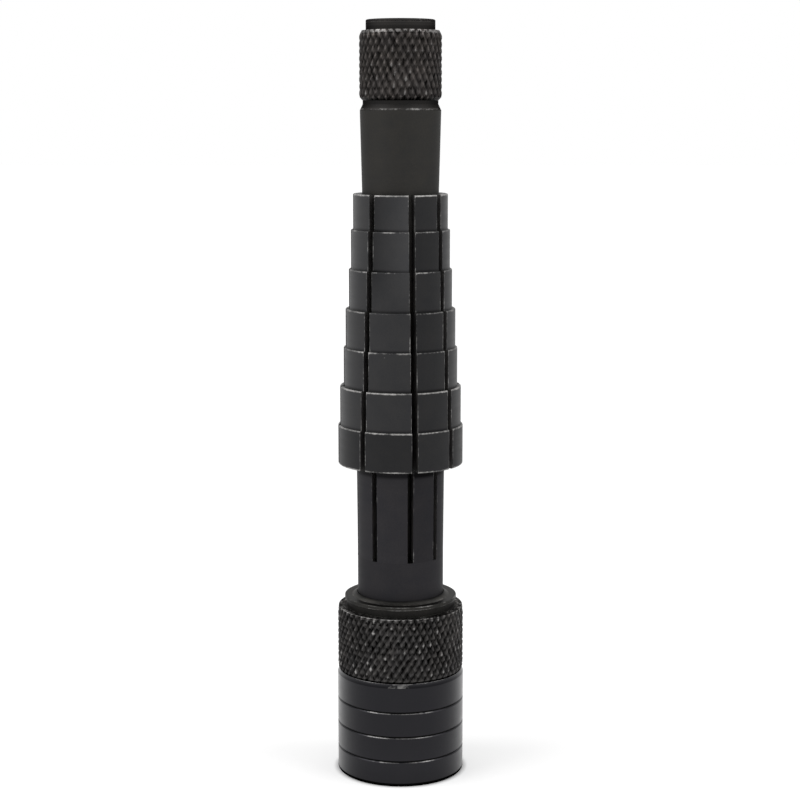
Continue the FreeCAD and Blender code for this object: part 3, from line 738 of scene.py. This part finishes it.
def build_pin():
    """Draw pin: tail, tapered shank, undercut, knurled head and plain end boss."""
    sheet = Sheet()
    knurl = Knurl(
        radius=HEAD_RADIUS, teeth=34, repeat=2.66, depth=0.25, flank=0.42,
        foot=HEAD_FOOT, top=HEAD_TOP, seed=5, faint_u=0.0, faint_v=0.6,
        polish=(0.4, 1.0, 2.8), shade_gain=1.4, bevel_wear=0.9, border_wear=1.05, grit=0.3)
    lower, upper = knurl.build(sheet, head_blank, HEAD_LEVELS)
    neck, foot = sheet.turn(rounded_outline([
        (HEAD_GROOVE_RADIUS, HEAD_FOOT - BORDER_GAP),
        (HEAD_GROOVE_RADIUS, CONE_TOP, 0.1),
        *((SHANK_TOP_RADIUS - inward, SHANK_TOP + up, 0, wear, tone)
          for inward, up, wear, tone in CONE_ROWS),
        (SHANK_TOP_RADIUS, SHANK_TOP, 0.05),
        (TAPER_FOOT_RADIUS, TAPER_FOOT),
        (TAIL_RADIUS, TAPER_FOOT - (TAPER_FOOT_RADIUS - TAIL_RADIUS)),
        (TAIL_RADIUS, TAIL_FOOT + TAIL_BEVEL),
        (TAIL_RADIUS - TAIL_BEVEL, TAIL_FOOT),
    ]))
    shoulder, crown = sheet.turn(rounded_outline([
        (END_BOSS_RADIUS + END_BOSS_FACE, HEAD_TOP),
        (END_BOSS_RADIUS, HEAD_TOP, 0.1, 0, 0.0),
        *((END_BOSS_RADIUS, PIN_TOP - down, 0, wear, tone) for down, wear, tone in END_BOSS_ROWS),
        # painted highlight on the top edge
        (END_BOSS_RADIUS, PIN_TOP, 0.25, 0.6, 0.6),
        *((END_BOSS_RADIUS - inward, PIN_TOP) for inward in END_FACE_RINGS),
    ]))
    sheet.stitch(lower, neck)
    sheet.stitch(upper, shoulder)
    sheet.mesh.faces.new(foot)
    sheet.mesh.faces.new(crown)
    return sheet.finish("pin_turned")


# ---------------------------------------------------------------------------------------------
# Materials
# ---------------------------------------------------------------------------------------------

class Graph:
    """The node tree of a material or a world, built one node at a time."""

    def __init__(self, owner):
        owner.use_nodes = True
        self.tree = owner.node_tree
        self.tree.nodes.clear()

    def add(self, kind, inputs=None, **settings):
        """New node with its settings and inputs; an input is a value or a node's socket."""
        made = self.tree.nodes.new("ShaderNode" + kind)
        for key, value in settings.items():
            setattr(made, key, value)
        for key, value in (inputs or {}).items():
            if isinstance(value, bpy.types.NodeSocket):
                self.tree.links.new(value, made.inputs[key])
            else:
                made.inputs[key].default_value = value
        return made

    def math(self, operation, *values):
        """Result of a Math node."""
        return self.add("Math", dict(enumerate(values)), operation=operation).outputs[0]

    def ramp(self, value, low, high, to_low=0.0, to_high=1.0):
        """Value carried from one range to another, and held inside it."""
        inputs = {
            "Value": value, "From Min": low, "From Max": high,
            "To Min": to_low, "To Max": to_high}
        return self.add("MapRange", inputs).outputs["Result"]

    def noise(self, vector, scale, detail, roughness):
        """Value of a three-dimensional noise."""
        inputs = {"Vector": vector, "Scale": scale, "Detail": detail, "Roughness": roughness}
        return self.add("TexNoise", inputs).outputs["Fac"]

    def line_noise(self, along, scale):
        """Value of a noise that changes in one direction only."""
        inputs = {"W": along, "Scale": scale, "Detail": 2.0}
        return self.add("TexNoise", inputs, noise_dimensions="1D").outputs["Fac"]

    def attribute(self, name):
        """Value of a vertex attribute."""
        return self.add("Attribute", attribute_name=name).outputs["Fac"]

    def mix(self, share, first, second):
        """Colour between two colours."""
        made = self.add("Mix", {"Factor": share}, data_type="RGBA")
        for socket, value in ((made.inputs[6], first), (made.inputs[7], second)):
            if isinstance(value, bpy.types.NodeSocket):
                self.tree.links.new(value, socket)
            else:
                socket.default_value = (*value, 1.0)
        return made.outputs[2]


BARE_STEEL = (0.40, 0.39, 0.38)
BARE_BRONZE = (0.6, 0.4, 0.2)
COOL = (0.97, 1.0, 1.05)
WARM = (1.03, 1.0, 0.95)
DUST_COLOUR = (0.55, 0.54, 0.52)
DUST_SCALE = 330.0
DUST_EDGE = (0.05, 0.03)  # a speck ends between these distances from its middle
DUST_STEP = 0.01
LATHE_SCALE = 5200.0  # of the finest lathe lines
LATHE_LEAN = 0.9  # share of the radius in their place, so that flat faces have them too
BROAD_SCALE = 700.0
BROAD_SHARE = 0.5
MOTTLE = (260.0, 5.0, 0.6)  # scale, detail and roughness of a noise
MOTTLE_SHARE = 0.6
PORES = (3800.0, 3.0, 0.6)
PORE_SHARE = 0.4
SPECKLE = (2000.0, 4.0, 0.65)
RUB = (330.0, 2.0, 0.5)
RUB_SHARE = 1.3
MIDDLE_OF_NOISE = (0.3, 0.7)
WORN_THROUGH = (1.85, 2.4)  # sum of wear and noise where bare metal begins, and where it is full
UNEVEN_RANGE = (0.4, 1.1)
SMOOTHER = 0.06  # how far the roughness goes either way
ROUGHER = 0.08
RELIEF_HEIGHT = 0.00001

FINISHES = {
    "base_black": dict(
        colour=(0.0064, 0.0061, 0.0086), roughness=0.32,
        glance=1.0, coat=0.38, lines=0.6, grain=0.2, wear=0.45, dust=0.01),
    "collar_black": dict(
        colour=(0.040, 0.0385, 0.0385), roughness=0.32,
        glance=0.6, lines=0.2, grain=0.8, uneven=0.4, wear=0.7, dust=0.03),
    "boss_black": dict(
        colour=(0.0200, 0.0196, 0.0188), roughness=0.40,
        glance=0.6, lines=0.8, grain=0.8, uneven=0.45, wear=0.5, dust=0.02),
    "shoulder_black": dict(
        colour=(0.0300, 0.0290, 0.0285), roughness=0.45,
        glance=0.4, lines=0.3, grain=1.0, uneven=0.5, wear=0.6, dust=0.05),
    "collet_black": dict(
        colour=(0.0160, 0.0160, 0.0172), roughness=0.50,
        glance=0.9, coat=0.35, uneven=0.22, wear=0.8, dust=0.01),
    "neck_black": dict(
        colour=(0.0222, 0.0214, 0.0242), roughness=0.50,
        glance=0.6, coat=0.15, uneven=0.22, wear=0.8, dust=0.01),
    "knurl_black": dict(
        colour=(0.0495, 0.0450, 0.0435), roughness=0.32,
        glance=0.6, lines=0.2, grain=0.6, uneven=0.3, wear=0.55, dust=0.03),
    "shank_black": dict(
        colour=(0.0270, 0.0260, 0.0243), roughness=0.54,
        glance=0.6, coat=0.15, lines=0.3, wear=0.6, dust=0.01),
    "turned_black": dict(
        colour=(0.0190, 0.0182, 0.0178), roughness=0.58, glance=0.3, grain=0.4, wear=0.6),
    "sawn_grey": dict(
        colour=(0.15, 0.145, 0.145), roughness=0.60, lines=0.2, grain=1.0, uneven=0.3),
    # painted shade: near-black for the contact shadow at the foot and the shade in the grooves
    "shaded_black": dict(
        colour=(0.003, 0.003, 0.003), roughness=0.60, glance=0.0, wear=0.3),
    "ground_steel": dict(colour=(0.40, 0.40, 0.40), roughness=0.32, lines=0.8),
    "bearing_bronze": dict(
        colour=(0.45, 0.27, 0.10), bright=BARE_BRONZE, roughness=0.38, lines=0.8),
}


def turned_metal(
        name, colour, roughness, bright=BARE_STEEL, glance=0.5, coat=0.0,
        lines=0.5, grain=0.5, uneven=0.16, wear=1.0, dust=0.0):
    """Turned metal: fine lathe lines, a mottled finish, worn edges, a thin coat, some dust.

    Bright is the bare metal, glance the tint of its grazing reflection, lines and grain the two
    parts of the relief, uneven the mottling, wear the share of bare metal at a worn spot.
    """
    material = bpy.data.materials.new(name)
    graph = Graph(material)
    place = graph.add("TexCoord").outputs["Object"]
    apart = graph.add("SeparateXYZ", {0: place})
    flat = graph.add("CombineXYZ", {"X": apart.outputs["X"], "Y": apart.outputs["Y"]}).outputs[0]
    radius = graph.add("VectorMath", {0: flat}, operation="LENGTH").outputs["Value"]
    lean = graph.math("MULTIPLY", radius, LATHE_LEAN)
    along = graph.math("SUBTRACT", apart.outputs["Z"], lean)
    fine = graph.line_noise(along, LATHE_SCALE)
    broad = graph.line_noise(along, BROAD_SCALE)
    mottle = graph.noise(place, *MOTTLE)
    pores = graph.noise(place, *PORES)
    speckle = graph.noise(place, *SPECKLE)
    rubbed = graph.noise(place, *RUB)

    uneven_wear = graph.math("MULTIPLY_ADD", rubbed, RUB_SHARE, speckle)
    worn = graph.math("ADD", graph.attribute("wear"), uneven_wear)
    bare = graph.math("MULTIPLY", graph.ramp(worn, *WORN_THROUGH), wear)
    tint = graph.math(
        "MULTIPLY_ADD", graph.ramp(mottle, *MIDDLE_OF_NOISE), MOTTLE_SHARE,
        graph.ramp(pores, *MIDDLE_OF_NOISE, 0.0, PORE_SHARE))
    dark = [channel * (1 - uneven) * hue for channel, hue in zip(colour, COOL)]
    light = [channel * (1 + uneven) * hue for channel, hue in zip(colour, WARM)]
    # the tone attribute scales the colour and the coat: it carries painted light and shade as well
    # as uneven finish
    tone = graph.math("ADD", graph.attribute("tone"), 1.0)
    finish = graph.add(
        "VectorMath", {0: graph.mix(tint, dark, light), "Scale": tone}, operation="SCALE")
    shade = graph.mix(bare, finish.outputs[0], bright)
    unevenness = graph.math("ADD", mottle, graph.math("MULTIPLY", broad, BROAD_SHARE))
    rough = graph.ramp(unevenness, *UNEVEN_RANGE, roughness - SMOOTHER, roughness + ROUGHER)
    if dust:
        inputs = {"Vector": place, "Scale": DUST_SCALE, "Randomness": 1.0}
        cells = graph.add("TexVoronoi", inputs)
        lot = graph.add("SeparateColor", {0: cells.outputs["Color"]}).outputs[0]
        chosen = graph.ramp(lot, 1.0 - dust, 1.0 - dust + DUST_STEP)
        near = graph.ramp(cells.outputs["Distance"], *DUST_EDGE)
        speck = graph.math("MULTIPLY", near, chosen)
        shade = graph.mix(speck, shade, DUST_COLOUR)
        rough = graph.math("MAXIMUM", rough, speck)

    height = graph.math("MULTIPLY_ADD", fine, lines, graph.math("MULTIPLY", pores, grain))
    relief = {"Strength": 1.0, "Distance": RELIEF_HEIGHT, "Height": height}
    surface = graph.add("BsdfPrincipled", {
        "Base Color": shade, "Metallic": 1.0, "Roughness": rough,
        "Specular Tint": (glance, glance, glance, 1.0),
        "Coat Weight": graph.math("MULTIPLY", tone, coat) if coat else 0.0,
        "Coat Roughness": roughness, "Normal": graph.add("Bump", relief).outputs["Normal"]})
    graph.add("OutputMaterial", {"Surface": surface.outputs["BSDF"]})
    return material


def dress(piece, material, bands=()):
    """Give a piece its material and slot; a band (material, low, high) has its own material."""
    piece.data.materials.clear()
    piece.data.materials.append(material)
    for index, (band_material, low, high) in enumerate(bands, start=1):
        piece.data.materials.append(band_material)
        for face in piece.data.polygons:
            if low * MM < face.center.z < high * MM:
                face.material_index = index


# ---------------------------------------------------------------------------------------------
# Studio
# ---------------------------------------------------------------------------------------------

CAMERA_PLACE = Vector((-0.0001, -0.358, 0.1328))
CAMERA_TARGET = Vector((-0.0001, 0.0, 0.0757))
FOCAL_LENGTH = 82.08
SENSOR_WIDTH = 36.0
LAMP_TARGET = Vector((0, 0, 0.075))
LAMPS = (  # name, place, width, height, power
    ("left_lamp", (-0.54, -0.18, 0.65), 0.6, 0.5, 2.8),
    ("right_lamp", (0.54, -0.18, 0.65), 0.6, 0.5, 2.2),
    ("top_lamp", (0.0, 0.1, 0.8), 0.6, 0.6, 1.2))
WHITE = (1, 1, 1, 1)
AMBIENT_STRENGTH = 0.35
FLOOR_REACH = 4.0
PAPER_COLOUR = (0.86, 0.86, 0.86, 1.0)
CONTACT_SHADOW_RANGE = (0.0128, 0.0137)  # painted contact shadow: the glow starts only past the foot of the tool
GLOW_RANGE = (0.3, 1.0)
GLOW_STRENGTH = (0.36, 0.74)


def aim(thing, target):
    """Turn a camera or a lamp so that it looks at a point."""
    thing.rotation_euler = (target - thing.location).to_track_quat("-Z", "Y").to_euler()


def build_camera():
    """Camera at the photograph's viewing angle."""
    data = bpy.data.cameras.new("camera")
    data.lens = FOCAL_LENGTH
    data.sensor_width = SENSOR_WIDTH
    camera = bpy.data.objects.new("camera", data)
    camera.location = CAMERA_PLACE
    aim(camera, CAMERA_TARGET)
    bpy.context.scene.collection.objects.link(camera)
    bpy.context.scene.camera = camera


def build_lamp(name, place, width, height, power):
    """Soft rectangular lamp aimed at the middle of the tool."""
    data = bpy.data.lights.new(name, "AREA")
    data.shape = "RECTANGLE"
    data.size = width
    data.size_y = height
    data.energy = power
    lamp = bpy.data.objects.new(name, data)
    lamp.location = place
    aim(lamp, LAMP_TARGET)
    bpy.context.scene.collection.objects.link(lamp)


def seen_white(graph, plain, white):
    """Mix of two shaders: the white one where it is seen, and the plain one where it lights.

    It is seen by camera, glossy and transmission rays.
    """
    path = graph.add("LightPath")
    seen = graph.math("MAXIMUM", path.outputs["Is Camera Ray"], path.outputs["Is Glossy Ray"])
    seen = graph.math("MAXIMUM", seen, path.outputs["Is Transmission Ray"])
    return graph.add("MixShader", {0: seen, 1: plain, 2: white}).outputs[0]


def build_floor():
    """Plain pale floor, white in the picture, with a soft shadow at the foot of the tool.

    The shadow is cast by the lamps, and a painted contact shadow is added where the glow is held
    off.
    """
    sheet = Sheet()
    reach = FLOOR_REACH / MM
    places = ((-reach, -reach), (reach, -reach), (reach, reach), (-reach, reach))
    sheet.mesh.faces.new([sheet.mesh.verts.new((x, y, 0)) for x, y in places])
    floor = sheet.finish("floor")
    material = bpy.data.materials.new("floor_paper")
    graph = Graph(material)
    paper = graph.add("BsdfDiffuse", {"Color": PAPER_COLOUR}).outputs[0]
    place = graph.add("TexCoord").outputs["Object"]
    distance = graph.add("VectorMath", {0: place}, operation="LENGTH").outputs["Value"]
    contact_shadow = graph.ramp(distance, *CONTACT_SHADOW_RANGE)
    glow = graph.ramp(distance, *GLOW_RANGE, *GLOW_STRENGTH)
    strength = graph.math("MULTIPLY", glow, contact_shadow)
    emission = graph.add("Emission", {"Strength": strength}).outputs[0]
    lit = graph.add("AddShader", {0: paper, 1: emission}).outputs[0]
    graph.add("OutputMaterial", {"Surface": seen_white(graph, paper, lit)})
    floor.data.materials.append(material)


def build_world():
    """Even light from all round, white where it is seen."""
    world = bpy.data.worlds.new("studio")
    bpy.context.scene.world = world
    graph = Graph(world)
    ambient = graph.add("Background", {"Color": WHITE, "Strength": AMBIENT_STRENGTH}).outputs[0]
    white = graph.add("Background", {"Color": WHITE}).outputs[0]
    graph.add("OutputWorld", {"Surface": seen_white(graph, ambient, white)})


def build_studio():
    """Floor, world, lamps and camera."""
    build_floor()
    build_world()
    for lamp in LAMPS:
        build_lamp(*lamp)
    build_camera()
    bpy.context.scene.view_settings.view_transform = "Standard"


# ---------------------------------------------------------------------------------------------
# Everything together
# ---------------------------------------------------------------------------------------------

PAST_END = 1  # a band at a piece's end reaches this far past it
FLAT = 0.01  # half the height of a flat face's band
STEP_MARGIN = 0.1  # between the neck's band and the underside of the widest step
HIDDEN_NODES = (  # CAD nodes that no piece replaces, and their finishes
    ("base_plug", "base_black"), ("draw_nut", "bearing_bronze"),
    ("thrust_washer", "bearing_bronze"), ("nut_key_1", "ground_steel"),
    ("nut_key_2", "ground_steel"), ("retaining_ring", "ground_steel"))


def main():
    """Build the pieces, dress them and put them in the studio."""
    metals = {name: turned_metal(name, **finish) for name, finish in FINISHES.items()}

    base = build_base()
    dress(base, metals["base_black"], (
        # painted shade: the contact shadow on the foot, and shade on the upper half of each groove
        (metals["shaded_black"], -PAST_END, FOOT_HEIGHT),
        *((metals["shaded_black"], height, height + GROOVE_HALF_WIDTH)
          for height in GRIP_GROOVES)))
    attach(base, "base")
    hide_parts("base_body")

    collar = build_collar()
    dress(collar, metals["collar_black"], (
        (metals["boss_black"], COLLAR_SHOULDER + FLAT, COLLAR_TOP + PAST_END),
        (metals["shoulder_black"], COLLAR_SHOULDER - FLAT, COLLAR_SHOULDER + FLAT)))
    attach(collar, "collet")
    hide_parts("knurled_collar")

    sleeve = build_sleeve()
    dress(sleeve, metals["neck_black"])
    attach(sleeve, "collet")
    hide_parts("collet_neck")

    for index in range(len(SLOT_DEGREES)):
        jaw = build_jaw(index)
        neck_band = (metals["neck_black"], SLOT_END - PAST_END, STEPS_FOOT - STEP_MARGIN)
        dress(jaw, metals["collet_black"], (neck_band,))
        jaw.data.materials.append(metals["sawn_grey"])
        for face in jaw.data.polygons:
            if face.loop_total > 4:  # a slot wall, which is one face
                face.material_index = 2
        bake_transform(jaw)
        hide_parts("collet_jaw_%d" % (index + 1))

    pin = build_pin()
    dress(pin, metals["knurl_black"], (
        (metals["shank_black"], TAIL_FOOT - PAST_END, SHANK_TOP),
        (metals["turned_black"], SHANK_TOP, HEAD_FOOT),
        (metals["turned_black"], HEAD_TOP, PIN_TOP + PAST_END)))
    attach(pin, "pin")
    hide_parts("draw_pin")

    for name, finish in HIDDEN_NODES:
        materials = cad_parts[name].data.materials
        materials.clear()
        materials.append(metals[finish])

    build_studio()


main()
